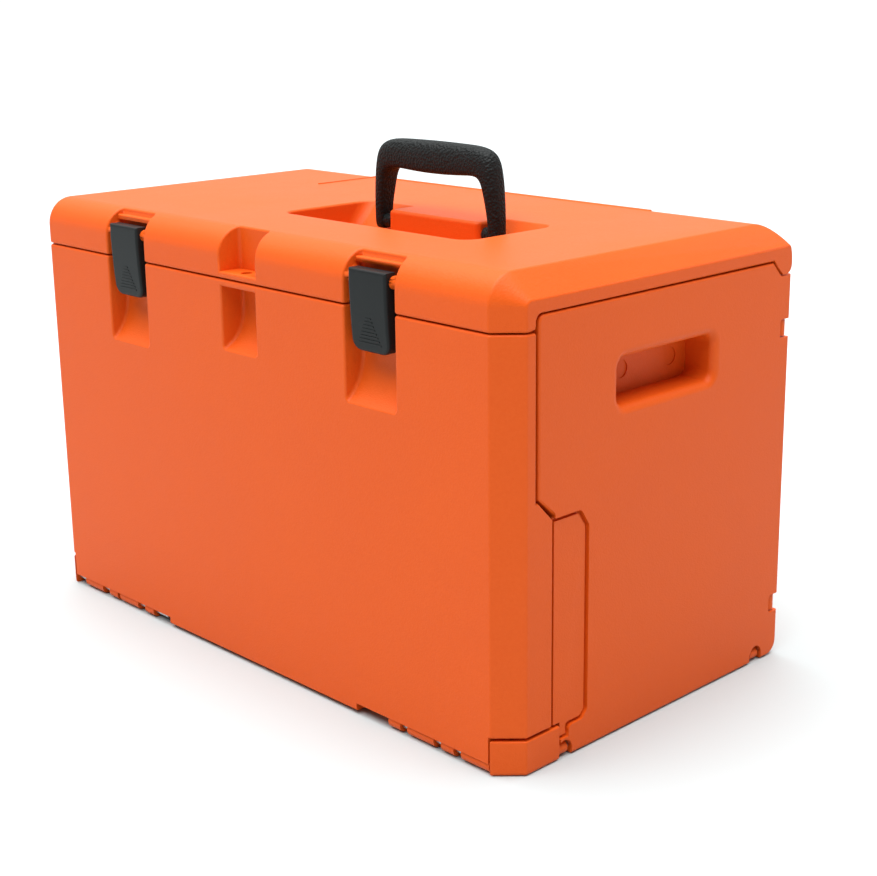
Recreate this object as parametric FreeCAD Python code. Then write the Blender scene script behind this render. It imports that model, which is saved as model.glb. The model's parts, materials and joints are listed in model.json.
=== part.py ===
import FreeCAD, Part
import math
import os

# Moulded carrying case with a hinged lid, two latches and a fold-down handle.
# Millimetres. X runs along the front, +Y to the back, +Z up.
# The origin is on the floor under the middle of the case.

Vector = FreeCAD.Vector
X_AXIS, Y_AXIS, Z_AXIS = Vector(1, 0, 0), Vector(0, 1, 0), Vector(0, 0, 1)

# ---- driving dimensions -------------------------------------------------
width = 510.0
depth = 282.0
height = 317.0
skin = 2.6                      # wall of each hollow moulding
half_w, half_d = width / 2, depth / 2

seam_z = 282.0                  # joint between lid and body at front and back
side_seam_z = 292.0             # the same joint along the sides
seam_gap = 1.0
facet = 16.0                    # 45 degree bevel on lid sides and front corners

front_thick = 24.0
side_thick = 28.0
rear_thick = 20.0
base_thick = 20.0
panel_gap = 0.6
return_end = -102.0             # where the front panel's returns end along the sides
return_gap = 2.2                # open joint between the returns and the side panels

front_bottom = 2.7
side_bottom = 1.0
block_top = 23.8                # corner block of the base, seen outside the panels
block_end = -95.0
block_gap = 2.0                 # open joint between the block and the panels
block_foot_r = 3.0

rod_r = 2.3
rod_hole_r = 2.35
barrel_r = 4.9
rod_inset = 5.5                 # rod centre from the outer faces
barrel_clear = 0.9

# front edge knuckles: one pitch, both groups start from their own x
knuckle_pitch = 50.0
base_knuckle, front_knuckle = 25.0, 11.5

recess_x = 134.5                # latch recesses, left and right of the middle
recess_half = 24.0
recess_depth = 14.2
hasp_half = 19.0
hasp_depth = 17.0
hasp_flange = 4.6               # ledges that a padlock passes through
hasp_hole_r = 4.0
draft = 0.16                    # side slope of the front recesses
recess_corner_r = 3.0

# outside edges as they leave the mould
facet_r = 2.5                   # along the corner bevels
lid_facet_r = 3.0
seam_r = 1.6                    # front seam and recess openings
joint_r = 1.4                   # joints between neighbouring panels

lid_front_r, lid_rear_r = 20.0, 26.0
lid_floor = 288.0               # underside of the lid's inner pan
hinge_y, hinge_z, hinge_r = 134.5, 288.5, 6.5

handle_x = 48.5                 # the handle sits off centre
handle_y, pivot_z = 2.75, 308.0
well_x0, well_x1 = -46.0, 144.0
well_y0, well_y1 = -64.0, 21.0
well_floor = 294.0
ramp_foot_y = 2.0               # where the well's sloping back wall starts
plinth_half, plinth_y0 = 46.5, -4.0
handle_top, grip_under = 369.5, 347.0
handle_pin_r = 2.0

latch_w, latch_top, latch_bottom = 35.0, 306.7, 254.0
latch_y, latch_z = -135.3, 300.5
latch_face = -142.6
latch_pin_r = 1.5
ledge_y, ledge_z = -131.0, 308.7

hold_y0, hold_y1 = -41.0, 55.5  # hand hold in each side panel
hold_z0, hold_z1 = 221.5, 252.5
hold_depth, hold_rim = 24.4, 6.0

land_depth, groove_depth = 1.2, 3.4   # strip beside the return, and the groove round it

corner_pin_length = 40.0


# ---- building blocks ----------------------------------------------------
def box(x0, x1, y0, y1, z0, z1):
    return Part.makeBox(x1 - x0, y1 - y0, z1 - z0, Vector(x0, y0, z0))


def rod(radius, start, axis, length):
    return Part.makeCylinder(radius, length, start, axis)


def wire_face(edges):
    return Part.Face(Part.Wire(edges))


def polygon(points):
    return Part.Face(Part.makePolygon(points + [points[0]]))


def prism_x(yz, x0, x1):
    return polygon([Vector(x0, y, z) for y, z in yz]).extrude(Vector(x1 - x0, 0, 0))


def prism_y(xz, y0, y1):
    return polygon([Vector(x, y0, z) for x, z in xz]).extrude(Vector(0, y1 - y0, 0))


def prism_z(xy, z0, z1):
    return polygon([Vector(x, y, z0) for x, y in xy]).extrude(Vector(0, 0, z1 - z0))


def line(a, b):
    return Part.LineSegment(a, b).toShape()


def arc(a, b, c):
    return Part.Arc(a, b, c).toShape()


def join(shapes):
    return shapes[0].multiFuse(shapes[1:]).removeSplitter()


def mirror_x(shape):
    return shape.mirror(Vector(0, 0, 0), X_AXIS)


def round_edges(shape, radius, wanted):
    """Fillet the edges whose bounding box passes the test."""
    return round_found(shape, radius, lambda e: wanted(e.BoundBox))


def round_found(shape, radius, wanted):
    return shape.makeFillet(radius, [e for e in shape.Edges if wanted(e)])


def middle_of(edge):
    return edge.valueAt((edge.FirstParameter + edge.LastParameter) / 2)


def near(value, target, tolerance=0.05):
    return abs(value - target) < tolerance


def vertical(b):
    return b.ZLength > 1 and b.XLength < 0.01 and b.YLength < 0.01


def upright_on_side(b):
    """True for an edge that lies in the outer plane of a side."""
    return near(abs(b.XMin), half_w) and near(abs(b.XMax), half_w)


def along_x(b):
    return b.XLength > 1 and b.YLength < 0.01 and b.ZLength < 0.01


def along_y(b):
    return b.YLength > 1 and b.XLength < 0.01 and b.ZLength < 0.01


# ---- recess tools shared by the lid and the front panel -----------------
def slot_plan(x_mid, half, reach, z0, z1):
    """Upright slot, wide at the front face and narrower with depth."""
    front_y = -half_d - 10
    outer = half + 10 * draft
    inner = half - reach * draft
    back_y = -half_d + reach
    corners = [(x_mid - outer, front_y), (x_mid + outer, front_y),
               (x_mid + inner, back_y), (x_mid - inner, back_y)]
    return prism_z(corners, z0, z1)


def scoop_side(reach, radius, tangent_z, top_z):
    """Side outline of a body recess: straight back, curved out at the bottom."""
    back_y = -half_d + reach
    centre_y = back_y - radius
    front_y = -half_d - 8
    end_angle = math.acos((front_y - centre_y) / radius)
    mid_angle = end_angle / 2

    def on_arc(angle):
        return Vector(-300, centre_y + radius * math.cos(angle),
                      tangent_z - radius * math.sin(angle))
    top_back = Vector(-300, back_y, top_z)
    top_front = Vector(-300, front_y, top_z)
    edges = [line(top_back, on_arc(0)), arc(on_arc(0), on_arc(mid_angle), on_arc(end_angle)),
             line(on_arc(end_angle), top_front), line(top_front, top_back)]
    return wire_face(edges).extrude(Vector(600, 0, 0))


def soft_slot(x_mid, half, reach, z0, z1):
    """Slot with its two inner corners rounded."""
    inner_y = -half_d + reach
    return round_edges(slot_plan(x_mid, half, reach, z0, z1), recess_corner_r,
                       lambda b: vertical(b) and b.YMax > inner_y - 0.1)


def body_recess(x_mid, half, reach, radius, tangent_z, top_z):
    """Slot that curves out at the bottom, its inner corners rounded."""
    tool = slot_plan(x_mid, half, reach, 150, top_z)
    tool = tool.common(scoop_side(reach, radius, tangent_z, top_z))
    return round_edges(tool, recess_corner_r, lambda b: b.ZLength > 2
                       and b.YMax > -half_d + reach - 0.1)


def latch_sides():
    return (-recess_x, recess_x)


# ---- hinge layout -------------------------------------------------------
def front_rods():
    """Rod spans under the front panel as (x start, x end)."""
    return ((-240.0, -112.0), (147.0, 240.0))


def front_base_knuckles():
    starts = (-212.0, 174.5)
    return [x + i * knuckle_pitch for x in starts for i in range(2)]


def front_panel_knuckles():
    starts = (-184.0, 149.5)
    return [x + i * knuckle_pitch for x in starts for i in range(2)]


def rear_knuckles(first):
    return [side * (first + i * knuckle_pitch) for side in (-1, 1) for i in range(2)]


def hinge_panel_knuckles():
    return [side * x for side in (-1, 1) for x in (132.0, 188.0)]


def barrel_x(x_mid, length, y, z, radius=barrel_r):
    return rod(radius, Vector(x_mid - length / 2, y, z), X_AXIS, length)


front_rod_y = -half_d + rod_inset
rear_rod_y = half_d - rod_inset
side_rod_x = half_w - rod_inset
rod_z = rod_inset
side_boss_y = (-90.0, 116.0)    # base bosses that carry the side pins
corner_boss_z = (40.5, 244.0)   # rear panel bosses that carry the corner pins


# ---- base ---------------------------------------------------------------
def base_panel():
    x1 = half_w - side_thick - panel_gap
    y0 = -half_d + front_thick + panel_gap
    y1 = half_d - rear_thick - panel_gap
    slab = box(-x1, x1, y0, y1, 0, base_thick)
    slab = round_edges(slab, 3.0, lambda b: near(b.ZMax, 0) and (along_x(b) or along_y(b)))
    pieces = [slab]
    blocks = []
    for side in (-1, 1):
        block = box(half_w - facet - 0.5, half_w, -half_d, block_end, 0, block_top)
        block = block.cut(prism_z([(half_w - facet - 1, -half_d - 1),
                                   (half_w + 1, -half_d - 1),
                                   (half_w + 1, -half_d + facet + 1)], -1, block_top + 1))
        block = round_edges(block, block_foot_r, lambda b: near(b.ZMax, 0)
                            and b.XMax > half_w - facet + 1 and b.YMin < block_end - 1
                            and (b.YMax < -half_d + facet + 0.1
                                 or along_y(b) and near(b.XMin, half_w)))
        block = round_edges(block, facet_r, lambda b: b.XMin > half_w - block_foot_r - 1
                            and b.YMax < -half_d + facet + 3 and b.ZLength > 5)
        block = round_edges(block, 1.2, lambda b: near(b.ZMin, block_top)
                            and b.XMax > half_w - facet + 1
                            and (b.YMax < -half_d + facet + 3 or along_y(b)
                                 and near(b.XMin, half_w)))
        root = box(x1 - 2, half_w - 3, y0, block_end, 0, base_thick)
        block = block.fuse(root).removeSplitter()
        blocks.append(block if side > 0 else mirror_x(block))
    pieces += blocks
    for x in front_base_knuckles():
        arm = box(x - base_knuckle / 2, x + base_knuckle / 2, front_rod_y, y0 + 4,
                  1.2, rod_z + 2.5)
        pieces += [arm, barrel_x(x, base_knuckle, front_rod_y, rod_z)]
    for x in rear_knuckles(140.0):
        arm = box(x - base_knuckle / 2, x + base_knuckle / 2, y1 - 4, rear_rod_y,
                  1.2, rod_z + 2.5)
        pieces += [arm, barrel_x(x, base_knuckle, rear_rod_y, rod_z)]
    for side in (-1, 1):
        for y in side_boss_y:
            low = min(side * (x1 - 4), side * side_rod_x)
            high = max(side * (x1 - 4), side * side_rod_x)
            pieces.append(box(low, high, y - 4.2, y + 4.2, 1.5, 9.0))
            pieces.append(rod(4.3, Vector(side * side_rod_x, y - 4.2, rod_z), Y_AXIS, 8.4))
    solid = join(pieces)
    for x0, x1_rod in front_rods():
        solid = solid.cut(rod(rod_hole_r, Vector(x0, front_rod_y, rod_z), X_AXIS, x1_rod - x0))
    for x0 in (-222.0, 108.0):
        solid = solid.cut(rod(rod_hole_r, Vector(x0, rear_rod_y, rod_z), X_AXIS, 114))
    for side in (-1, 1):
        for start, length in side_pins():
            solid = solid.cut(rod(rod_hole_r, Vector(side * side_rod_x, start, rod_z),
                                  Y_AXIS, length))
    inner = box(-x1 + 8, x1 - 8, y0 + 8, y1 - 8, skin, base_thick - skin)
    return solid.cut(inner)


def side_pins():
    """Pins along Y under each side panel as (y start, length)."""
    return ((-112.0, 46.0), (95.0, 36.0))


# ---- front panel --------------------------------------------------------
def front_panel():
    top = seam_z - seam_gap / 2
    block_room_x = half_w - facet - 0.5 - 1.6
    back_y = -half_d + front_thick
    low = front_bottom
    slab = box(-half_w, half_w, -half_d, back_y, low, top)
    returns = [prism_x([(back_y - 1, block_top + block_gap), (return_end, block_top + block_gap),
                        (return_end, 163.0), (-115.0, 176.5), (back_y - 1, 176.5)],
                       half_w - 23, half_w)]
    returns.append(mirror_x(returns[0]))
    solid = join([slab] + returns)
    for side in (-1, 1):
        corner = prism_z([(half_w - facet, -half_d), (half_w, -half_d + facet),
                          (half_w + 5, -half_d)], 0, top + 1)
        block_room = box(block_room_x, half_w + 1, -half_d - 1, -90, -1,
                         block_top + block_gap)
        for tool in (corner, block_room):
            solid = solid.cut(tool if side > 0 else mirror_x(tool))
    solid = round_edges(solid, facet_r, lambda b: vertical(b) and b.ZLength > 100
                        and (near(abs(b.XMin), half_w - facet) and near(b.YMin, -half_d)
                             or upright_on_side(b) and near(b.YMin, -half_d + facet)))
    solid = round_edges(solid, joint_r, lambda b: upright_on_side(b)
                        and b.YMin > -half_d + facet + 0.5
                        and b.ZMin > block_top and not near(b.ZMin, top))
    for x in latch_sides():
        solid = solid.cut(body_recess(x, recess_half, recess_depth, 38.0, 248.0, top + 5))
    solid = solid.cut(body_recess(0, hasp_half, hasp_depth, 28.0, 258.0, top - hasp_flange))

    def at_opening(edge):
        b = edge.BoundBox
        if near(b.ZMin, top):
            return b.YMax < back_y - 0.01
        m = middle_of(edge)
        return (b.ZMin > 200 and near(m.y, -half_d)
                and abs(m.x) < recess_x + recess_half + 3)
    solid = round_found(solid, seam_r, at_opening)
    solid = round_edges(solid, joint_r, lambda b: near(b.ZMax, low) and near(b.YMax, -half_d))
    solid = solid.cut(rod(hasp_hole_r, Vector(0, -half_d + 8.5, top - 10), Z_AXIS, 20))
    # hinge zones: the lower edge is cut back, then the panel's own barrels are added
    for x0, x1 in ((-238.2, -104.5), (112.5, 238.2)):
        solid = solid.cut(box(x0, x1, -half_d - 1, back_y + 1, 0, rod_z + 2.6))
    for x in front_base_knuckles():
        half = base_knuckle / 2 + barrel_clear
        solid = solid.cut(barrel_x(x, 2 * half, front_rod_y, rod_z, barrel_r + barrel_clear))
        solid = solid.cut(box(x - half, x + half, front_rod_y, back_y + 1, 0, 9.5))
    barrels = []
    for x in front_panel_knuckles():
        half = front_knuckle / 2
        barrels.append(barrel_x(x, front_knuckle, front_rod_y, rod_z))
        barrels.append(box(x - half, x + half, front_rod_y - 4, front_rod_y + 4.9,
                           rod_z, rod_z + 8))
    solid = join([solid] + barrels)
    for x0, x1 in front_rods():
        solid = solid.cut(rod(rod_hole_r, Vector(x0, front_rod_y, rod_z), X_AXIS, x1 - x0))
    # catch bars that the latches hook under
    for x in latch_sides():
        solid = solid.fuse(prism_x([(-half_d + recess_depth + 0.5, 266.0),
                                    (-134.2, 268.5), (-134.2, 274.0),
                                    (-half_d + recess_depth + 0.5, 277.0)], x - 13, x + 13))
    solid = solid.removeSplitter()
    void_x = block_room_x - skin
    inner = box(-void_x, void_x, -half_d + skin, back_y - skin, 16, top - skin)
    for x, half in ((-recess_x, recess_half), (0, hasp_half), (recess_x, recess_half)):
        inner = inner.cut(box(x - half - skin, x + half + skin, -half_d, back_y, 212, top))
    return solid.cut(inner)


# ---- rear panel ---------------------------------------------------------
def rear_panel():
    x1 = half_w - side_thick - panel_gap
    y0 = half_d - rear_thick
    top = seam_z - seam_gap / 2
    solid = box(-x1, x1, y0, half_d, side_bottom, top)
    solid = round_edges(solid, 2.0, lambda b: near(b.ZMin, top) and near(b.YMin, half_d))
    solid = solid.cut(box(-216, 216, y0 - 1, half_d + 1, 0, rod_z + 2.6))
    pieces = [solid]
    for x in rear_knuckles(165.0):
        half = front_knuckle / 2
        pieces.append(barrel_x(x, front_knuckle, rear_rod_y, rod_z))
        pieces.append(box(x - half, x + half, rear_rod_y - 4, rear_rod_y + 4.4,
                          rod_z, rod_z + 8))
    for x in hinge_panel_knuckles():
        half = 11.0
        pieces.append(barrel_x(x, 2 * half, hinge_y, hinge_z, 5.2))
        pieces.append(box(x - half, x + half, hinge_y - 5.2, hinge_y + 5.2,
                          top - 6, hinge_z))
    for side in (-1, 1):
        for z in corner_boss_z:
            near_x, far_x = side * (x1 - 4), side * side_rod_x
            pieces.append(box(min(near_x, far_x), max(near_x, far_x), rear_rod_y - 3.3,
                              rear_rod_y + 4.5, z - 5.4, z + 5.4))
            pieces.append(rod(4.5, Vector(far_x, rear_rod_y, z - 5.4), Z_AXIS, 10.8))
    solid = join(pieces)
    for x in rear_knuckles(140.0):
        half = base_knuckle / 2 + barrel_clear
        solid = solid.cut(barrel_x(x, 2 * half, rear_rod_y, rod_z, barrel_r + barrel_clear))
        solid = solid.cut(box(x - half, x + half, y0 - 1, rear_rod_y, 0, 9.5))
    for x0 in (-222.0, 108.0):
        solid = solid.cut(rod(rod_hole_r, Vector(x0, rear_rod_y, rod_z), X_AXIS, 114))
    for side in (-1, 1):
        for start in corner_pins():
            solid = solid.cut(rod(rod_hole_r, Vector(side * side_rod_x, rear_rod_y, start),
                                  Z_AXIS, corner_pin_length))
        solid = solid.cut(rod(rod_hole_r, Vector(side * 160 - 50, hinge_y, hinge_z),
                              X_AXIS, 100))
    inner = box(-x1 + 6, x1 - 6, y0 + skin, half_d - skin, 18, 270)
    return solid.cut(inner)


def corner_pins():
    return [z - corner_pin_length / 2 for z in corner_boss_z]


# ---- side panels --------------------------------------------------------
def hand_hold():
    """Pocket for the fingers; its rim is rounded once it is cut."""
    pocket = box(half_w - hold_depth, half_w + 1, hold_y0, hold_y1, hold_z0, hold_z1)
    return round_edges(pocket, 7.0, lambda b: b.XLength > 5)


def land_tool():
    """Sunk strip next to the front panel's return, with a groove round its free edges."""
    def soft(b):
        return b.XLength > 1 and b.YMin > -90 and b.ZMin > 16.5
    outer = prism_x([(-101, 14), (-86, 14), (-86, 21.5), (-73.5, 21.5), (-68.5, 27),
                     (-68.5, 152), (-76, 163.5), (-101, 163.5)], half_w - groove_depth, half_w + 1)
    strip = prism_x([(-102, 16.4), (-88.4, 16.4), (-88.4, 24), (-74.7, 24), (-71, 28),
                     (-71, 151.2), (-77.4, 161), (-102, 161)],
                    half_w - groove_depth - 1, half_w - land_depth)
    return round_edges(outer, 4.0, soft).cut(round_edges(strip, 2.5, soft))


def side_panel():
    x0 = half_w - side_thick
    front_y = -half_d + front_thick + return_gap
    lower_front_y = return_end + return_gap
    block_y = block_end + 1.4
    rear_y = half_d
    top = side_seam_z - seam_gap / 2
    rear_top = seam_z - seam_gap / 2
    outline = [(front_y, 178.7), (front_y, top), (120.0, top), (129.5, rear_top),
               (rear_y, rear_top), (rear_y, side_bottom), (block_y, side_bottom),
               (block_y, block_top + block_gap), (lower_front_y, block_top + block_gap),
               (lower_front_y, 164.6)]
    solid = prism_x(outline, x0, half_w)
    solid = round_edges(solid, 10.0, lambda b: near(b.YMin, rear_y) and near(b.YMax, rear_y)
                        and near(b.ZMin, side_bottom) and near(b.ZMax, side_bottom))
    solid = round_edges(solid, 5.0, lambda b: near(b.YMax, front_y) and near(b.ZMin, top))
    outer_rim = [e for e in solid.Edges if near(e.BoundBox.XMin, half_w)
                 and not (e.BoundBox.ZMin < 30 and e.BoundBox.YMax < -80)
                 and not (e.BoundBox.ZMax < side_bottom + 0.1)]
    solid = solid.makeFillet(1.6, outer_rim)
    solid = solid.cut(land_tool())
    solid = solid.cut(hand_hold())
    rim_edges = [e for e in solid.Edges if near(e.BoundBox.XMin, half_w)
                 and near(e.BoundBox.XMax, half_w)
                 and e.BoundBox.YMin > hold_y0 - 0.1 and e.BoundBox.YMax < hold_y1 + 0.1
                 and e.BoundBox.ZMin > hold_z0 - 0.1 and e.BoundBox.ZMax < hold_z1 + 0.1]
    solid = solid.makeFillet(hold_rim, rim_edges)
    # round dimples where the two skins meet, at the back of the pocket
    for y in (-11.0, 39.0):
        solid = solid.cut(rod(6.2, Vector(half_w - hold_depth - 1.0, y, 237), X_AXIS, 2))
    # room for the pin bosses
    for y in side_boss_y:
        top_room = rod(7.0, Vector(x0 - 1, y, rod_z), X_AXIS, side_thick + 2)
        solid = solid.cut(top_room)
        solid = solid.cut(box(x0 - 1, half_w + 1, y - 7.0, y + 7.0, 0, rod_z))
    for z in corner_boss_z:
        notch = box(x0 - 1, half_w + 1, rear_rod_y - 5.4, half_d + 1, z - 6.6, z + 6.6)
        solid = solid.cut(round_edges(notch, 2.5, lambda b: b.XLength > 5 and b.YMax < rear_rod_y))
    for start, length in side_pins():
        solid = solid.cut(rod(rod_hole_r, Vector(side_rod_x, start, rod_z), Y_AXIS, length))
    for start in corner_pins():
        solid = solid.cut(rod(rod_hole_r, Vector(side_rod_x, rear_rod_y, start), Z_AXIS,
                              corner_pin_length))
    inner = box(x0 + skin, half_w - 3 - skin, front_y + 4, half_d - 16, 20, top - skin)
    inner = inner.cut(box(x0, half_w, front_y, lower_front_y + skin, 0, 182))
    inner = inner.cut(box(x0, half_w, front_y, block_y + skin, 0,
                          block_top + block_gap + skin))
    rim = hold_rim + skin
    inner = inner.cut(box(x0, half_w, hold_y0 - rim, hold_y1 + rim, hold_z0 - rim,
                          hold_z1 + rim))
    inner = inner.cut(box(x0, half_w, 110, half_d, rear_top - 8, top))
    return solid.cut(inner)


# ---- lid ----------------------------------------------------------------
def lid_profile(x):
    """Side outline of the lid: rounded front and back, barrel at the hinge."""
    bottom = seam_z + seam_gap / 2
    f, r = lid_front_r, lid_rear_r
    c45 = math.sqrt(0.5)
    a = Vector(x, -half_d, bottom)
    b = Vector(x, -half_d, height - f)
    b_mid = Vector(x, -half_d + f - f * c45, height - f + f * c45)
    c = Vector(x, -half_d + f, height)
    d = Vector(x, half_d - r, height)
    d_mid = Vector(x, half_d - r + r * c45, height - r + r * c45)
    e = Vector(x, half_d, height - r)
    g = Vector(x, half_d, hinge_z)
    g_mid = Vector(x, hinge_y + hinge_r * c45, hinge_z - hinge_r * c45)
    h = Vector(x, hinge_y, hinge_z - hinge_r)
    k = Vector(x, hinge_y - 3, hinge_z - hinge_r)
    m = Vector(x, hinge_y - 3.5, bottom)
    return wire_face([line(a, b), arc(b, b_mid, c), line(c, d), arc(d, d_mid, e), line(e, g),
                      arc(g, g_mid, h), line(h, k), line(k, m), line(m, a)])


def bevel_wire(x, shrink):
    """Outline of the front and top bevel, drawn in by the given amount."""
    r = lid_front_r - shrink
    y0, z1 = -half_d + shrink, height - shrink
    c45 = math.sqrt(0.5)
    corners = [Vector(x, y0, 270), Vector(x, y0, z1 - r), Vector(x, y0 + r, z1),
               Vector(x, half_d + 20, z1), Vector(x, half_d + 20, 270)]
    mid = Vector(x, y0 + r - r * c45, z1 - r + r * c45)
    return Part.Wire([line(corners[0], corners[1]), arc(corners[1], mid, corners[2]),
                      line(corners[2], corners[3]), line(corners[3], corners[4]),
                      line(corners[4], corners[0])])


def lid_shell():
    body = lid_profile(-half_w).extrude(Vector(width, 0, 0))
    middle = Part.Face(bevel_wire(-half_w + facet, 0)).extrude(Vector(width - 2 * facet, 0, 0))
    end = Part.makeLoft([bevel_wire(half_w - facet, 0), bevel_wire(half_w, facet)], True, True)
    blank = join([middle, end, mirror_x(end)])
    blank = round_edges(blank, lid_facet_r, lambda b: b.XLength < 0.01
                        and near(abs(b.XMin), half_w - facet)
                        and (b.YMax < half_d + 19.9 or near(b.ZMin, height)))
    blank = round_edges(blank, facet_r, lambda b: upright_on_side(b)
                        and (b.YMax < half_d or near(b.ZMin, height - facet)))
    return body.common(blank)


def on_lid_front(point):
    """True on the lid's upright front or on the rounding above it."""
    y = point.y - (-half_d + lid_front_r)
    z = point.z - (height - lid_front_r)
    return near(point.y, -half_d) or (y < 0 and z > 0 and near(math.hypot(y, z), lid_front_r))


def lid_slot_edge(edge):
    """Picks the rims of the recesses and the lid's lower front edge."""
    b = edge.BoundBox
    bottom = seam_z + seam_gap / 2
    if b.YMax > -half_d + facet + 2 or b.ZMin < bottom - 0.1:
        return False
    if near(b.ZMax, bottom):
        return True
    m = middle_of(edge)
    in_slot = abs(m.x) < hasp_half + 2 or abs(abs(m.x) - recess_x) < recess_half + 0.5
    fold = near(b.ZMin, height - lid_front_r) and near(b.ZMax, height - lid_front_r)
    return in_slot and not fold and b.XLength < 60 and on_lid_front(m)


def handle_well():
    """Well for the folded handle, its back wall a ramp, less the plinth that carries the pins."""
    above = height + 10
    ramp_top_y = ramp_foot_y + (above - well_floor) * (well_y1 - ramp_foot_y) / (height - well_floor)
    well = prism_x([(well_y0, well_floor), (ramp_foot_y, well_floor), (ramp_top_y, above),
                    (well_y0, above)], well_x0, well_x1)
    well = round_edges(well, 9.0, lambda b: b.XLength < 0.01 and b.YMin > ramp_foot_y - 0.1
                       and b.ZLength > 5)
    well = round_edges(well, 12.0, lambda b: vertical(b) and near(b.YMin, well_y0))
    well = round_edges(well, 3.0, lambda b: near(b.ZMax, well_floor))
    x0, x1 = handle_x - plinth_half, handle_x + plinth_half
    plinth = box(x0, x1, plinth_y0, well_y1 + 15, well_floor - 1, height)
    rise = box(x0, x1, well_y1 - 1, well_y1 + 15, height - 1, height + 12)
    plinth = plinth.fuse(rise).removeSplitter()
    plinth = round_edges(plinth, 4.5, lambda b: vertical(b) and near(b.YMin, plinth_y0))
    plinth = round_edges(plinth, 2.5, lambda b: near(b.ZMin, height) and near(b.ZMax, height)
                         and b.YMin < well_y1 - 1.1)
    return well.cut(plinth)


def well_rim(b):
    """True for an edge where the well opens in the lid's top, away from the plinth."""
    on_top = near(b.ZMin, height) and near(b.ZMax, height)
    round_well = (b.XMin > well_x0 - 0.5 and b.XMax < well_x1 + 0.5
                  and b.YMin > well_y0 - 0.5 and b.YMax < well_y1 + 8)
    on_plinth = (b.XMin > handle_x - plinth_half - 0.1 and b.XMax < handle_x + plinth_half + 0.1
                 and b.YMin > plinth_y0 - 0.1)
    return on_top and round_well and not on_plinth


def lid():
    bottom = seam_z + seam_gap / 2
    solid = lid_shell()
    for x in latch_sides():
        solid = solid.cut(soft_slot(x, recess_half, recess_depth, bottom - 20, height + 9))
    solid = solid.cut(soft_slot(0, hasp_half + 1, hasp_depth, bottom + hasp_flange, height + 9))
    solid = round_found(solid, seam_r, lid_slot_edge)
    # the side panels stand higher than the front and back
    for side in (-1, 1):
        room = prism_x([(-121.5, bottom - 5), (-121.5, bottom), (-118.4, bottom + 1.6),
                        (-117.2, bottom + 4.5), (-117.2, side_seam_z + 0.5),
                        (121.0, side_seam_z + 0.5), (130.5, bottom + 0.2),
                        (130.5, bottom - 5)], half_w - side_thick - 1.2, half_w + 1)
        room = round_edges(room, 5.0, lambda b: b.XLength > 5 and b.ZMin > side_seam_z
                           and b.YMax < 0)
        solid = solid.cut(room if side > 0 else mirror_x(room))
    solid = round_edges(solid, 1.2, lambda b: upright_on_side(b) and b.ZMax < side_seam_z + 1
                        and b.ZMin > side_seam_z - 5 and b.YMin > -117.3 and b.YMax < 121.1)
    # inner pan and the tongue that locates the lid inside the panels
    pan_x = half_w - side_thick - 13
    solid = solid.cut(box(-pan_x, pan_x, -104.5, 108.0, bottom - 9, lid_floor))
    tongue_x = half_w - side_thick - 3
    tongue = box(-tongue_x, tongue_x, -114.5, 118.0, 276.0, bottom + 2)
    tongue = tongue.cut(box(-pan_x, pan_x, -104.5, 108.0, 270, bottom + 3))
    solid = solid.fuse(tongue)
    solid = solid.cut(handle_well())
    solid = round_edges(solid, 2.0, well_rim)
    for x in latch_sides():
        solid = solid.cut(soft_slot(x, recess_half, recess_depth, bottom - 20, bottom))
    solid = solid.cut(rod(hasp_hole_r, Vector(0, -half_d + 8.5, bottom - 5), Z_AXIS, 14))
    # bosses that carry the latch pins
    bosses = []
    for x in latch_sides():
        for side in (-1, 1):
            inner = x + side * (latch_w / 2 + 0.5)
            outer = x + side * (recess_half + 1.5)
            boss = rod(4.2, Vector(min(inner, outer), latch_y, latch_z), X_AXIS,
                       abs(outer - inner))
            back = box(min(inner, outer), max(inner, outer), latch_y, -half_d + 15,
                       latch_z - 4.2, latch_z + 4.2)
            bosses += [boss, back]
    solid = join([solid] + bosses)
    for x in latch_sides():
        solid = solid.cut(rod(latch_pin_r + 0.05, Vector(x - 23, latch_y, latch_z), X_AXIS, 46))
    # ledge across each latch recess, above the latch's swing
    for x in latch_sides():
        ledge = box(x - recess_half, x + recess_half, ledge_y, -half_d + recess_depth + 1,
                    ledge_z, ledge_z + 3.3)
        ledge = round_edges(ledge, 1.2, lambda b: near(b.YMax, ledge_y)
                            and near(b.ZMin, ledge_z + 3.3))
        solid = solid.fuse(ledge.common(slot_plan(x, recess_half + 0.5, recess_depth + 2,
                                                  ledge_z - 1, ledge_z + 5)))
    # hinge: slots for the rear panel's knuckles and a bore for each rod
    for x in hinge_panel_knuckles():
        solid = solid.cut(box(x - 11.8, x + 11.8, hinge_y - 6.4, half_d + 1,
                              bottom - 9, hinge_z + 6.4))
    for side in (-1, 1):
        solid = solid.cut(rod(rod_hole_r, Vector(side * 160 - 50, hinge_y, hinge_z), X_AXIS, 100))
        pin_x = handle_x + side * plinth_half
        solid = solid.cut(rod(handle_pin_r + 0.05, Vector(min(pin_x - side * 9, pin_x + side),
                                                          handle_y, pivot_z), X_AXIS, 10))
    # thin raised line that frames the back of the top
    frame_line = [box(-148.5, 148.5, 117.6, 119.2, height - 1, height + 0.7),
                  box(-149.3, -147.7, 56, 119.2, height - 1, height + 0.7)]
    solid = join([solid] + frame_line)
    inner = box(-half_w + facet + 2, half_w - facet - 2, -half_d + hasp_depth + skin + 0.4,
                half_d - 20, lid_floor + skin, height - skin)
    inner = inner.cut(box(well_x0 - skin, well_x1 + skin, well_y0 - skin, well_y1 + skin + 1,
                          270, height))
    for side in (-1, 1):
        rim = box(half_w - side_thick - 1.2 - skin, half_w, -half_d, half_d, 270,
                  side_seam_z + seam_gap / 2 + skin)
        inner = inner.cut(rim if side > 0 else mirror_x(rim))
    return solid.cut(inner)


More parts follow.
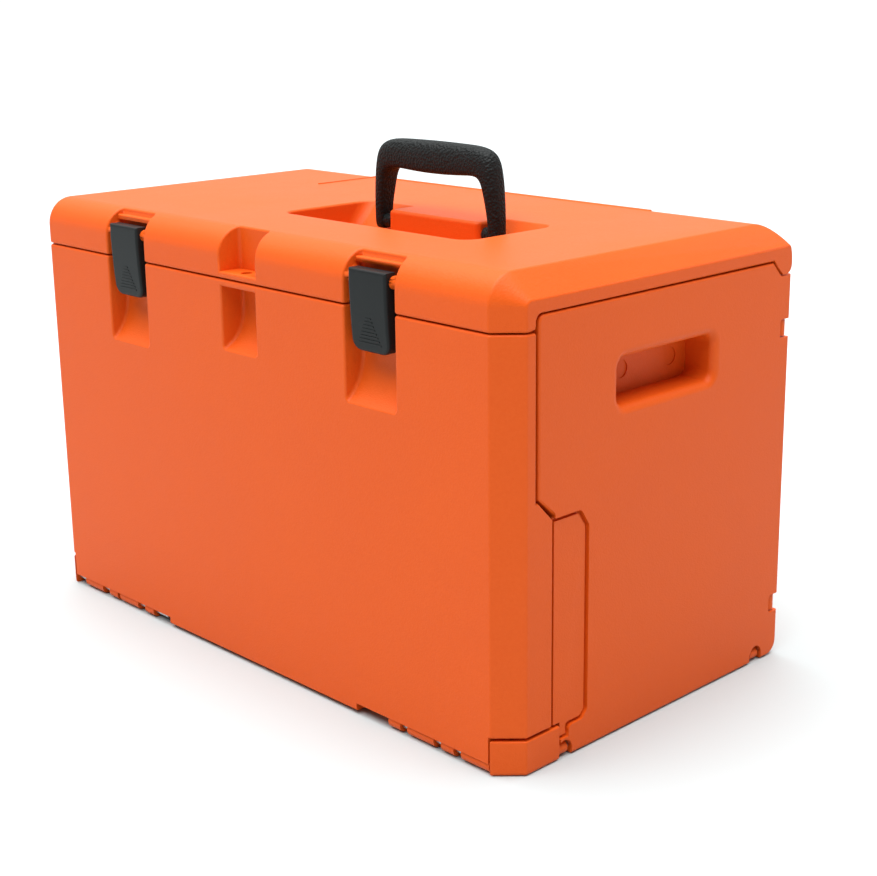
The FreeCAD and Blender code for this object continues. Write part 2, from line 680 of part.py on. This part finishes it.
# ---- latches ------------------------------------------------------------
def latch(x_mid):
    half = latch_w / 2
    plate_yz = [(latch_face + 1.6, latch_top), (latch_face + 0.4, latch_top - 1.5),
                (latch_face + 0.3, 296.0), (latch_face + 0.7, 284.0), (latch_face + 1.5, 270.0),
                (latch_face + 2.8, 257.0), (latch_face + 3.6, latch_bottom),
                (latch_face + 5.4, latch_bottom), (latch_face + 4.2, 266.0),
                (latch_face + 3.2, 284.0), (latch_face + 3.2, latch_top)]
    plate = prism_x(plate_yz, x_mid - half, x_mid + half)
    plate = round_edges(plate, 7.5, lambda b: b.YLength > 1.5 and b.YLength < 5
                        and b.XLength < 0.01 and near(b.ZMin, latch_bottom)
                        and near(b.ZMax, latch_bottom))
    flange_yz = [(latch_face + 2.5, latch_top), (-133.6, latch_top), (-131.0, latch_top - 3.2),
                 (-131.0, 294.5), (-134.2, 288.0), (-136.0, 262.0), (latch_face + 2.5, 262.0)]
    pieces = [plate]
    for side in (-1, 1):
        outer = x_mid + side * half
        inner = x_mid + side * (half - 2.6)
        pieces.append(prism_x(flange_yz, min(outer, inner), max(outer, inner)))
    pieces.append(box(x_mid - half + 1, x_mid + half - 1, latch_face + 2.5, -133.6,
                      latch_top - 2.6, latch_top))
    # hook that passes under the catch bar
    pieces.append(prism_x([(latch_face + 2.5, 266.6), (-131.4, 266.6), (-130.6, 264.8),
                           (-130.6, 263.0), (latch_face + 2.5, 261.0)],
                          x_mid - 12, x_mid + 12))
    solid = join(pieces)
    return solid.cut(rod(latch_pin_r + 0.05, Vector(x_mid - 30, latch_y, latch_z), X_AXIS, 60))


def latch_pin(x_mid):
    return rod(latch_pin_r, Vector(x_mid - 22.5, latch_y, latch_z), X_AXIS, 45)


# ---- handle -------------------------------------------------------------
def handle():
    """U-shaped grip: its front view and its side view cut each other."""
    y0, y1 = handle_y - 12, handle_y + 12

    def p(dx, z):
        return Vector(handle_x + dx, y0, z)
    edges = []
    for s in (-1, 1):
        edges.append(line(p(s * 63, 300), p(s * 62.6, 320)))
        edges.append(line(p(s * 62.6, 320), p(s * 56.8, 356)))
        edges.append(arc(p(s * 56.8, 356), p(s * 52.6, 364.2), p(s * 44, 368.2)))
        edges.append(line(p(s * 63, 300), p(s * 54.0, 300)))
        edges.append(line(p(s * 54.0, 300), p(s * 53.6, 320)))
        edges.append(line(p(s * 53.6, 320), p(s * 50.5, 338)))
        edges.append(arc(p(s * 50.5, 338), p(s * 46.5, 345.4), p(s * 38, grip_under + 1.2)))
    edges.append(arc(p(-44, 368.2), p(0, handle_top), p(44, 368.2)))
    edges.append(arc(p(-38, grip_under + 1.2), p(0, grip_under - 0.8), p(38, grip_under + 1.2)))
    front_view = Part.Face(Part.Wire(Part.__sortEdges__(edges)))
    front_view = front_view.extrude(Vector(0, y1 - y0, 0))
    foot_r, grip_r = 6.3, 8.8

    def q(dy, z):
        return Vector(handle_x - 80, handle_y + dy, z)
    side = [arc(q(-foot_r, pivot_z), q(0, pivot_z - foot_r), q(foot_r, pivot_z)),
            line(q(foot_r, pivot_z), q(foot_r, 322)), line(q(foot_r, 322), q(grip_r, 346)),
            line(q(grip_r, 346), q(grip_r, handle_top - grip_r)),
            arc(q(grip_r, handle_top - grip_r), q(0, handle_top + 0.2),
                q(-grip_r, handle_top - grip_r)),
            line(q(-grip_r, handle_top - grip_r), q(-grip_r, 346)),
            line(q(-grip_r, 346), q(-foot_r, 322)), line(q(-foot_r, 322), q(-foot_r, pivot_z))]
    side_view = wire_face(side).extrude(Vector(160, 0, 0))
    solid = front_view.common(side_view)
    for s in (-1, 1):
        near_x = handle_x + s * (plinth_half + 0.5)
        far_x = handle_x + s * 56
        solid = solid.fuse(rod(5.0, Vector(min(near_x, far_x), handle_y, pivot_z), X_AXIS,
                               abs(far_x - near_x)))
    solid = solid.removeSplitter()
    for s in (-1, 1):
        start = min(handle_x + s * 40, handle_x + s * 61.5)
        solid = solid.cut(rod(handle_pin_r + 0.05, Vector(start, handle_y, pivot_z), X_AXIS, 21.5))
    return solid


def handle_pins():
    pins = []
    for s in (-1, 1):
        inner, outer = handle_x + s * (plinth_half - 8), handle_x + s * 61
        pins.append(rod(handle_pin_r, Vector(min(inner, outer), handle_y, pivot_z), X_AXIS,
                        abs(outer - inner)))
    return Part.makeCompound(pins)


# ---- steel rods and pins ------------------------------------------------
def rods_along_x():
    return {
        "front_hinge_rod_left": (front_rods()[0], front_rod_y, rod_z),
        "front_hinge_rod_right": (front_rods()[1], front_rod_y, rod_z),
        "rear_hinge_rod_left": ((-221.0, -109.0), rear_rod_y, rod_z),
        "rear_hinge_rod_right": ((109.0, 221.0), rear_rod_y, rod_z),
        "lid_hinge_rod_left": ((-209.0, -111.0), hinge_y, hinge_z),
        "lid_hinge_rod_right": ((111.0, 209.0), hinge_y, hinge_z),
    }


def side_pin_pair(side):
    return Part.makeCompound([rod(rod_r, Vector(side * side_rod_x, start + 0.5, rod_z),
                                  Y_AXIS, length - 1) for start, length in side_pins()])


def corner_pin_pair(side):
    return Part.makeCompound([rod(rod_r, Vector(side * side_rod_x, rear_rod_y, start + 0.5),
                                  Z_AXIS, corner_pin_length - 1) for start in corner_pins()])


# ---- export -------------------------------------------------------------
def build_all():
    right = side_panel()
    nodes = {
        "base_panel": base_panel(), "front_panel": front_panel(), "rear_panel": rear_panel(),
        "right_side_panel": right, "left_side_panel": mirror_x(right), "lid": lid(),
        "handle": handle(), "handle_pins": handle_pins(),
    }
    for name, x in (("left", -recess_x), ("right", recess_x)):
        nodes[name + "_latch"] = latch(x)
        nodes[name + "_latch_pin"] = latch_pin(x)
    for name, (span, y, z) in rods_along_x().items():
        nodes[name] = rod(rod_r, Vector(span[0] + 0.5, y, z), X_AXIS, span[1] - span[0] - 1)
    for name, side in (("left", -1), ("right", 1)):
        nodes["side_pins_" + name] = side_pin_pair(side)
        nodes["corner_pins_" + name] = corner_pin_pair(side)
    return nodes


os.makedirs("parts", exist_ok=True)
for name, shape in build_all().items():
    print(name, shape.isValid(), round(shape.Volume / 1000, 1), len(shape.Solids))
    shape.exportStep("parts/" + name + ".step")
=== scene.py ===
import bpy
import json
import math
from mathutils import Matrix, Vector

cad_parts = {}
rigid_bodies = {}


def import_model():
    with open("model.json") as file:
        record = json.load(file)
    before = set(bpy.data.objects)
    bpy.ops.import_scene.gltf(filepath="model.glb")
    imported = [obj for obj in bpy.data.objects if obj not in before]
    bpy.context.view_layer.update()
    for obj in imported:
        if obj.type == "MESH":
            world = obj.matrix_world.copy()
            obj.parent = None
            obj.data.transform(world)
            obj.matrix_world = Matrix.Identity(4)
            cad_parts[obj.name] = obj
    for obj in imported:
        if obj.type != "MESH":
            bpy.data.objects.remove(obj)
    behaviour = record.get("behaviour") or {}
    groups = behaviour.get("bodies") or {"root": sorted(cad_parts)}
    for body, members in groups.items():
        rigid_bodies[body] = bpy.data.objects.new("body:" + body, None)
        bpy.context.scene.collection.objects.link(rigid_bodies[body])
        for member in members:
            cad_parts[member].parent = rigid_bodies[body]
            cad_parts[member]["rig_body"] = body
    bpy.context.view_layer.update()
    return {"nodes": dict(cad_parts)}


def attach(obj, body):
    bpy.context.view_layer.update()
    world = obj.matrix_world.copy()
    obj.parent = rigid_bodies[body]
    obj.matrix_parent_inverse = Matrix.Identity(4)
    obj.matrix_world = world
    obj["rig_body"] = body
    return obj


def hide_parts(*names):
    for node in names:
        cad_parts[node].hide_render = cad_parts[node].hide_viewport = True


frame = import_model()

scene = bpy.context.scene


# ---- the setting: floor, light and camera --------------------------------------
# A pale sweep of matt paper on a studio table, lit by one broad ceiling panel
# and by the white room round it, which is dimmer behind the camera.
def plain_finish(name, colour, roughness):
    finish = bpy.data.materials.new(name)
    finish.use_nodes = True
    shader = finish.node_tree.nodes["Principled BSDF"]
    shader.inputs["Base Color"].default_value = (*colour, 1)
    shader.inputs["Roughness"].default_value = roughness
    return finish


floor_size, paper_white = 240, (0.465, 0.505, 0.51)
bpy.ops.object.select_all(action="DESELECT")
bpy.ops.mesh.primitive_plane_add(size=floor_size, location=(0, 0, 0))
floor = bpy.context.object
floor.name = "studio_floor"
floor.data.materials.append(plain_finish("studio_paper", paper_white, 0.9))

# the walls' glow falls evenly from the far side of the room to the camera's side
towards_camera, far_glow, near_glow = (0.69, -0.72, 0.10), 0.95, 0.10
room = bpy.data.worlds.new("white_room")
scene.world = room
room.use_nodes = True
walls = room.node_tree.nodes["Background"]
walls.inputs["Color"].default_value = (1, 1, 1, 1)
sight = room.node_tree.nodes.new("ShaderNodeLightPath")
glow = room.node_tree.nodes.new("ShaderNodeMix")
glow.inputs["B"].default_value = 1.0
bearing = room.node_tree.nodes.new("ShaderNodeTexCoord")
facing = room.node_tree.nodes.new("ShaderNodeVectorMath")
facing.operation = "DOT_PRODUCT"
facing.inputs[1].default_value = towards_camera
room.node_tree.links.new(bearing.outputs["Generated"], facing.inputs[0])
dimming = room.node_tree.nodes.new("ShaderNodeMapRange")
for socket, value in (("From Min", -1.0), ("From Max", 0.95),
                      ("To Min", far_glow), ("To Max", near_glow)):
    dimming.inputs[socket].default_value = value
room.node_tree.links.new(facing.outputs["Value"], dimming.inputs["Value"])
room.node_tree.links.new(dimming.outputs["Result"], glow.inputs["A"])
room.node_tree.links.new(sight.outputs["Is Camera Ray"], glow.inputs["Factor"])
room.node_tree.links.new(glow.outputs["Result"], walls.inputs["Strength"])

bank = bpy.data.lights.new("ceiling_bank", "SUN")
bank.energy, bank.angle = 6.6, math.radians(76)
ceiling = bpy.data.objects.new("ceiling_bank", bank)
scene.collection.objects.link(ceiling)
shine = Vector((0.03, 0.13, -0.98))
ceiling.rotation_euler = shine.to_track_quat("-Z", "Y").to_euler()

lens_yaw, lens_pitch, lens_roll = 0.7888, 0.2630, -0.0081
lens = bpy.data.cameras.new("studio_camera")
lens.sensor_fit, lens.sensor_width = "HORIZONTAL", 36
lens.lens = 1617.03 / 877 * 36
lens.shift_x, lens.shift_y = -0.0368, -0.0376
lens.clip_start, lens.clip_end = 0.05, 30
camera = bpy.data.objects.new("studio_camera", lens)
scene.collection.objects.link(camera)
forward = Vector((-math.sin(lens_yaw) * math.cos(lens_pitch),
                  math.cos(lens_yaw) * math.cos(lens_pitch), -math.sin(lens_pitch)))
level = Vector((math.cos(lens_yaw), math.sin(lens_yaw), 0))
rise = level.cross(forward)
right = math.cos(lens_roll) * level + math.sin(lens_roll) * rise
camera.location = (0.87836, -0.79069, 0.48542)
camera.rotation_mode = "QUATERNION"
across = Matrix((right, -forward.cross(right), -forward)).transposed()
camera.rotation_quaternion = across.to_quaternion()
scene.camera = camera
scene.view_settings.view_transform = "Standard"


# ---- base, front, rear and side panels, and lid --------------------------------
# Hollow double-wall panels, blow moulded in orange polyethylene. The moulds
# leave every edge slightly round and a fine leathery grain on the outside.
class Socket:
    """One socket of a material, so that sums on it read as plain Python."""

    def __init__(self, finish, socket):
        self.finish, self.socket = finish, socket

    def maths(self, operation, first, second):
        return self.finish.node("ShaderNodeMath", {"operation": operation}, {0: first, 1: second})

    def __add__(self, other): return self.maths("ADD", self, other)
    def __radd__(self, other): return self.maths("ADD", other, self)
    def __mul__(self, other): return self.maths("MULTIPLY", self, other)
    def __rmul__(self, other): return self.maths("MULTIPLY", other, self)


class Finish:
    """A material that is put together node by node."""

    def __init__(self, name):
        self.material = bpy.data.materials.new(name)
        self.material.use_nodes = True
        self.tree = self.material.node_tree
        self.shader = self.tree.nodes["Principled BSDF"]

    def node(self, kind, settings=None, inputs=None, output=0):
        made = self.tree.nodes.new(kind)
        for key, value in (settings or {}).items():
            if key == "stops":
                ramp = made.color_ramp.elements
                while len(ramp) < len(value):
                    ramp.new(0.5)
                for stop, (place, grey) in zip(ramp, value):
                    stop.position = place
                    stop.color = (grey, grey, grey, 1)
            else:
                setattr(made, key, value)
        for key, value in (inputs or {}).items():
            if isinstance(value, Socket):
                self.tree.links.new(value.socket, made.inputs[key])
            else:
                made.inputs[key].default_value = value
        return Socket(self, made.outputs[output])

    def place(self):
        return self.node("ShaderNodeTexCoord", output="Object")

    def noise(self, scale, detail=2.0, roughness=0.5, vector=None):
        return self.node("ShaderNodeTexNoise", {"normalize": True},
                         {"Vector": vector or self.place(), "Scale": scale, "Detail": detail,
                          "Roughness": roughness})

    def ramp(self, value, stops):
        return self.node("ShaderNodeValToRGB", {"stops": stops}, {0: value})

    def blend(self, amount, first, second):
        return self.node("ShaderNodeMix", {"data_type": "RGBA"},
                         {"Factor": amount, 6: first, 7: second}, output=2)

    def bump(self, height, strength, distance, under=None):
        inputs = {"Height": height, "Strength": strength, "Distance": distance}
        if under:
            inputs["Normal"] = under
        return self.node("ShaderNodeBump", None, inputs)

    def drive(self, name, socket):
        self.tree.links.new(socket.socket, self.shader.inputs[name])

    def fix(self, **numbers):
        for name, value in numbers.items():
            self.shader.inputs[name.replace("_", " ")].default_value = value


def orange_shell():
    finish = Finish("moulded_orange")
    spot = finish.place()
    cloud = finish.noise(9.0, 4.0, 0.6, spot)
    fleck = finish.noise(420.0, 2.0, 0.6, spot)
    colour = finish.blend(cloud, (0.66, 0.081, 0.004, 1), (0.71, 0.094, 0.006, 1))
    colour = finish.blend(finish.ramp(fleck, [(0.35, 0.0), (0.75, 0.12)]), colour,
                          (0.78, 0.14, 0.02, 1))
    finish.drive("Base Color", colour)
    finish.drive("Roughness", finish.ramp(cloud * 0.6 + fleck * 0.4, [(0.2, 0.40), (0.8, 0.52)]))
    cells = finish.node("ShaderNodeTexVoronoi", {"feature": "SMOOTH_F1"},
                        {"Vector": spot, "Scale": 900.0, "Smoothness": 0.6})
    grain = finish.bump(cells + fleck * 0.5, 0.35, 0.0003)
    finish.drive("Normal", finish.bump(finish.noise(28.0, 3.0, 0.5, spot), 0.16, 0.0016, grain))
    finish.fix(IOR=1.5, Specular_IOR_Level=0.20)
    return finish.material


orange = orange_shell()


def edit(piece):
    """Selects one object and nothing else, and opens its mesh."""
    bpy.ops.object.select_all(action="DESELECT")
    bpy.context.view_layer.objects.active = piece
    piece.select_set(True)
    bpy.ops.object.mode_set(mode="EDIT")
    bpy.ops.mesh.select_all(action="SELECT")


def apply_all(piece):
    bpy.ops.object.select_all(action="DESELECT")
    bpy.context.view_layer.objects.active = piece
    piece.select_set(True)
    for modifier in list(piece.modifiers):
        bpy.ops.object.modifier_apply(modifier=modifier.name)


def moulded(node):
    """A copy of a CAD node with whole faces, shaded as one smooth moulding."""
    piece = bpy.data.objects.new(node + "_moulding", frame["nodes"][node].data.copy())
    scene.collection.objects.link(piece)
    edit(piece)
    bpy.ops.mesh.remove_doubles(threshold=0.00001)
    bpy.ops.mesh.dissolve_limited(angle_limit=math.radians(0.3))
    bpy.ops.object.mode_set(mode="OBJECT")
    piece.data.materials.clear()
    smooth(piece, 32)
    return piece


def smooth(piece, degrees):
    """Shades a piece smooth across gentle edges and keeps its flats flat."""
    bpy.ops.object.select_all(action="DESELECT")
    bpy.context.view_layer.objects.active = piece
    piece.select_set(True)
    bpy.ops.object.shade_smooth_by_angle(angle=math.radians(degrees))
    shading = piece.modifiers.new("shading", "WEIGHTED_NORMAL")
    shading.keep_sharp = True
    bpy.ops.object.modifier_apply(modifier=shading.name)


def settle(piece, body, slot, *nodes):
    """Hands a finished piece to its body and hides the CAD nodes it stands for. The slot is not
    used.
    """
    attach(piece, body)
    if nodes:
        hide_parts(*nodes)


for node in ("base_panel", "front_panel", "rear_panel", "left_side_panel", "right_side_panel",
             "lid"):
    shell = moulded(node)
    shell.data.materials.append(orange)
    settle(shell, "lid" if node == "lid" else "case", "orange_shell", node)


# ---- latches -------------------------------------------------------------------
# Two draw latches, each one black nylon moulding: a bowed plate with flanges
# down both sides and a hook behind. Steel pins hold them in the lid's lugs.
def black_nylon():
    finish = Finish("latch_nylon")
    spot = finish.place()
    cloud = finish.noise(60.0, 3.0, 0.55, spot)
    speck = finish.noise(1500.0, 2.0, 0.5, spot)
    colour = finish.blend(cloud, (0.009, 0.010, 0.0105, 1), (0.014, 0.0155, 0.0155, 1))
    finish.drive("Base Color", colour)
    finish.drive("Roughness", finish.ramp(cloud * 0.5 + speck * 0.5, [(0.3, 0.34), (0.7, 0.46)]))
    finish.drive("Normal", finish.bump(speck, 0.25, 0.0002))
    finish.fix(IOR=1.5, Specular_IOR_Level=0.16)
    return finish.material


nylon = black_nylon()


def select_in(piece, kind, parts, wanted):
    """Selects the faces or the edges that pass a test, with the mesh left open."""
    bpy.ops.mesh.select_mode(type=kind)
    bpy.ops.mesh.select_all(action="DESELECT")
    bpy.ops.object.mode_set(mode="OBJECT")
    for part in getattr(piece.data, parts):
        part.select = wanted(part)
    bpy.ops.object.mode_set(mode="EDIT")


def select_faces(piece, wanted):
    select_in(piece, "FACE", "polygons", lambda face: wanted(face.center, face.normal))


def select_edges(piece, wanted):
    points = piece.data.vertices
    select_in(piece, "EDGE", "edges", lambda edge: wanted(*(points[i].co for i in edge.vertices)))


def block(name, low, high):
    """A cuboid between two corners, with its place in its mesh."""
    bpy.ops.object.select_all(action="DESELECT")
    low, high = Vector(low), Vector(high)
    bpy.ops.mesh.primitive_cube_add(size=1, location=(low + high) / 2)
    piece = bpy.context.object
    piece.name = name
    piece.scale = high - low
    bpy.ops.object.transform_apply(location=True, rotation=True, scale=True)
    edit(piece)
    return piece


def cut_across(axis, *places):
    """Adds an edge ring round the open mesh at each place along an axis."""
    for place in places:
        bpy.ops.mesh.select_all(action="SELECT")
        point, normal = [0, 0, 0], [0, 0, 0]
        point[axis], normal[axis] = place, 1
        bpy.ops.mesh.bisect(plane_co=point, plane_no=normal)


mm = 0.001
latch_half, plate_top, plate_foot, plate_thick = 17.5 * mm, 306.7 * mm, 254.0 * mm, 2.6 * mm
corner_round, front_round, rim_wall, rim_depth = 7.5 * mm, 1.8 * mm, 2.4 * mm, 6.0 * mm
hook_half, hook_foot, hook_top, hook_reach = 12 * mm, 262 * mm, 266.5 * mm, 6.6 * mm
web_foot, rim_foot = 304.3 * mm, 256.4 * mm
ridge_count, ridge_pitch, ridge_height, ridge_rise = 8, 2.3, 1.1 * mm, 0.35 * mm
# the front of the plate as height and depth, from the top down
plate_front = ((306.7, -142.2), (296, -142.3), (284, -141.9), (270, -141.1), (262, -140.4),
               (254, -139.6))


def plate_y(z):
    """The front of the latch plate at a height, in metres."""
    rows = [(a * mm, b * mm) for a, b in plate_front]
    for (z1, y1), (z0, y0) in zip(rows, rows[1:]):
        if z >= z0 - 1e-9:
            return y0 + (y1 - y0) * min(1, (z - z0) / (z1 - z0))
    return rows[-1][1]


def latch_piece():
    """One latch at the middle of the case, drawn flat and then bowed to plate_y."""
    flat = -0.1
    piece = block("latch", (-latch_half, flat, plate_foot),
                  (latch_half, flat + plate_thick, plate_top))
    select_edges(piece, lambda a, b: abs(a.z - plate_foot) < 1e-6 and abs(b.z - plate_foot) < 1e-6
                 and abs(a.x - b.x) < 1e-6)
    bpy.ops.mesh.bevel(offset=corner_round, segments=8, profile=0.5)
    select_edges(piece, lambda a, b: abs(a.y - flat) < 1e-6 and abs(b.y - flat) < 1e-6)
    bpy.ops.mesh.bevel(offset=front_round, segments=4, profile=0.5)
    wall = latch_half - rim_wall
    cut_across(0, -wall, -hook_half, hook_half, wall)
    cut_across(2, rim_foot, 258 * mm, hook_foot, hook_top, 270 * mm, 276 * mm, 284 * mm,
               290 * mm, 296 * mm, 301 * mm, web_foot)
    # rim all round, drawn back from the plate
    select_faces(piece, lambda c, n: n.y > 0.9 and (abs(c.x) > wall or c.z > web_foot
                                                    or c.z < rim_foot))
    bpy.ops.mesh.extrude_region_move(TRANSFORM_OT_translate={"value": (0, rim_depth, 0)})
    # hook
    select_faces(piece, lambda c, n: n.y > 0.9 and hook_foot < c.z < hook_top
                 and abs(c.x) < hook_half)
    bpy.ops.mesh.extrude_region_move(TRANSFORM_OT_translate={"value": (0, hook_reach, 0)})
    bpy.ops.transform.translate(value=(0, 0, -0.6 * mm))
    bpy.ops.object.mode_set(mode="OBJECT")
    # ridges for the fingertip, shorter towards the top
    for step in range(ridge_count):
        half, foot = (10.6 - 1.15 * step) * mm, (259.4 + ridge_pitch * step) * mm
        block("ridge", (-half, flat - ridge_rise, foot), (half, flat + 1 * mm, foot + ridge_height))
        bpy.ops.object.mode_set(mode="OBJECT")
        piece.select_set(True)
        bpy.context.view_layer.objects.active = piece
        bpy.ops.object.join()
    for point in piece.data.vertices:
        point.co.y += plate_y(point.co.z) - flat
    return piece


for side, middle in (("left", -134.5 * mm), ("right", 134.5 * mm)):
    latch = latch_piece()
    rounding = latch.modifiers.new("rounding", "BEVEL")
    rounding.limit_method, rounding.angle_limit = "ANGLE", math.radians(40)
    rounding.width, rounding.segments = 0.35 * mm, 2
    apply_all(latch)
    for point in latch.data.vertices:
        point.co.x += middle
    latch.name = side + "_latch_lever"
    latch.data.materials.append(nylon)
    smooth(latch, 40)
    settle(latch, side + "_latch", "latch_black", side + "_latch")


# ---- carrying handle -----------------------------------------------------------
# One stiff black polymer moulding with a pebbled skin: a deep rounded grip that
# sags a little below, and two legs that end in eyes round their pins.
def pebbled_black():
    finish = Finish("handle_pebble")
    spot = finish.place()
    cloud = finish.noise(45.0, 3.0, 0.55, spot)
    pebbles = finish.node("ShaderNodeTexVoronoi", {"feature": "SMOOTH_F1"},
                          {"Vector": spot, "Scale": 560.0, "Smoothness": 0.3})
    colour = finish.blend(cloud, (0.0055, 0.0075, 0.0075, 1), (0.0095, 0.012, 0.012, 1))
    finish.drive("Base Color", colour)
    finish.drive("Roughness", finish.ramp(pebbles * 0.7 + cloud * 0.3, [(0.1, 0.42), (0.8, 0.62)]))
    finish.drive("Normal", finish.bump(pebbles, 1.0, 0.0008))
    finish.fix(IOR=1.5, Specular_IOR_Level=0.16)
    return finish.material


handle_middle = Vector((48.5, 2.75, 0)) * mm
# each station: inner x and z, outer x and z, half depth, all from the handle's middle
handle_stations = (
    (0, 346.0, 0, 369.7, 9.2), (16, 346.3, 16, 369.6, 9.2), (30, 347.2, 31, 369.3, 9.2),
    (40, 347.8, 44.5, 368.8, 9.2), (46.8, 346.2, 55.6, 365.4, 9.0), (50.0, 339.6, 59.6, 354.5, 8.8),
    (51.9, 330, 61.8, 338, 8.0), (53.4, 320, 63.3, 323, 6.9), (53.9, 313, 63.2, 313, 6.7),
    (54.0, 307, 63.2, 307, 6.7), (54.0, 303, 63.2, 303, 5.3), (54.0, 301.6, 63.2, 301.6, 2.6))
# its section: share of the half depth, and share of the way from inside to outside
handle_ring = ((-1, 0.14), (-0.74, 0), (0.74, 0), (1, 0.14),
               (1, 0.64), (0.64, 1), (-0.64, 1), (-1, 0.64))


def station_points(station):
    inner_x, inner_z, outer_x, outer_z, half = station
    inner, outer = Vector((inner_x, 0, inner_z)), Vector((outer_x, 0, outer_z))
    return [(inner.lerp(outer, share) + Vector((0, depth * half, 0))) * mm
            for depth, share in handle_ring]


bpy.ops.object.select_all(action="DESELECT")
bpy.ops.mesh.primitive_circle_add(vertices=len(handle_ring), radius=0.01)
handle = bpy.context.object
handle.name = "carrying_handle"
last_ring = station_points(handle_stations[0])
for point, place in zip(handle.data.vertices, last_ring):
    point.co = place
edit(handle)
bpy.ops.mesh.select_mode(type="VERT")
bpy.ops.mesh.select_all(action="SELECT")
for station in handle_stations[1:]:
    bpy.ops.mesh.extrude_region_move()
    bpy.ops.object.mode_set(mode="OBJECT")
    next_ring = station_points(station)
    for point in handle.data.vertices:
        if point.select:
            nearest = min(range(len(last_ring)), key=lambda i: (last_ring[i] - point.co).length)
            point.co = next_ring[nearest]
    last_ring = next_ring
    bpy.ops.object.mode_set(mode="EDIT")
bpy.ops.mesh.edge_face_add()
bpy.ops.mesh.select_all(action="SELECT")
bpy.ops.mesh.normals_make_consistent(inside=False)
bpy.ops.object.mode_set(mode="OBJECT")
twin = handle.modifiers.new("other_half", "MIRROR")
twin.use_clip, twin.merge_threshold = True, 0.01 * mm
skin = handle.modifiers.new("skin", "SUBSURF")
skin.levels = skin.render_levels = 3
apply_all(handle)
# spacer rings between the legs and the plinth
spacer_radius, spacer_length, spacer_place, pin_height = 5 * mm, 9 * mm, 51.6 * mm, 308 * mm
for end in (-1, 1):
    bpy.ops.object.select_all(action="DESELECT")
    bpy.ops.mesh.primitive_cylinder_add(vertices=40, radius=spacer_radius, depth=spacer_length,
                                        location=(end * spacer_place, 0, pin_height),
                                        rotation=(0, math.pi / 2, 0))
    ring = bpy.context.object
    edge_round = ring.modifiers.new("edge_round", "BEVEL")
    edge_round.width, edge_round.segments = 0.5 * mm, 2
    edge_round.limit_method = "ANGLE"
    apply_all(ring)
    ring.select_set(True)
    handle.select_set(True)
    bpy.context.view_layer.objects.active = handle
    bpy.ops.object.join()
bpy.ops.object.transform_apply(location=True, rotation=True, scale=True)
for point in handle.data.vertices:
    point.co += handle_middle
handle.data.materials.append(pebbled_black())
smooth(handle, 40)
settle(handle, "handle", "grip_black", "handle")


# ---- steel rods and pins -------------------------------------------------------
# Drawn steel wire, cut to length. The rods join the panels at the base and the
# lid, and the short pins hold the side panels, latches and handle.
def drawn_steel():
    finish = Finish("drawn_steel")
    spot = finish.place()
    lines = finish.noise(260.0, 3.0, 0.6, finish.node(
        "ShaderNodeMapping", None, {"Vector": spot, "Scale": (0.06, 1.0, 1.0)}))
    finish.drive("Base Color", finish.blend(lines, (0.42, 0.42, 0.43, 1), (0.60, 0.60, 0.61, 1)))
    finish.drive("Roughness", finish.ramp(lines, [(0.3, 0.26), (0.7, 0.42)]))
    finish.drive("Normal", finish.bump(lines, 0.15, 0.0002))
    finish.fix(Metallic=1.0)
    return finish.material


steel = drawn_steel()
for node, bare in frame["nodes"].items():
    if "rod" in node or "pin" in node:
        wire = moulded(node)
        wire.data.materials.append(steel)
        settle(wire, bare["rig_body"], "rod_steel", node)
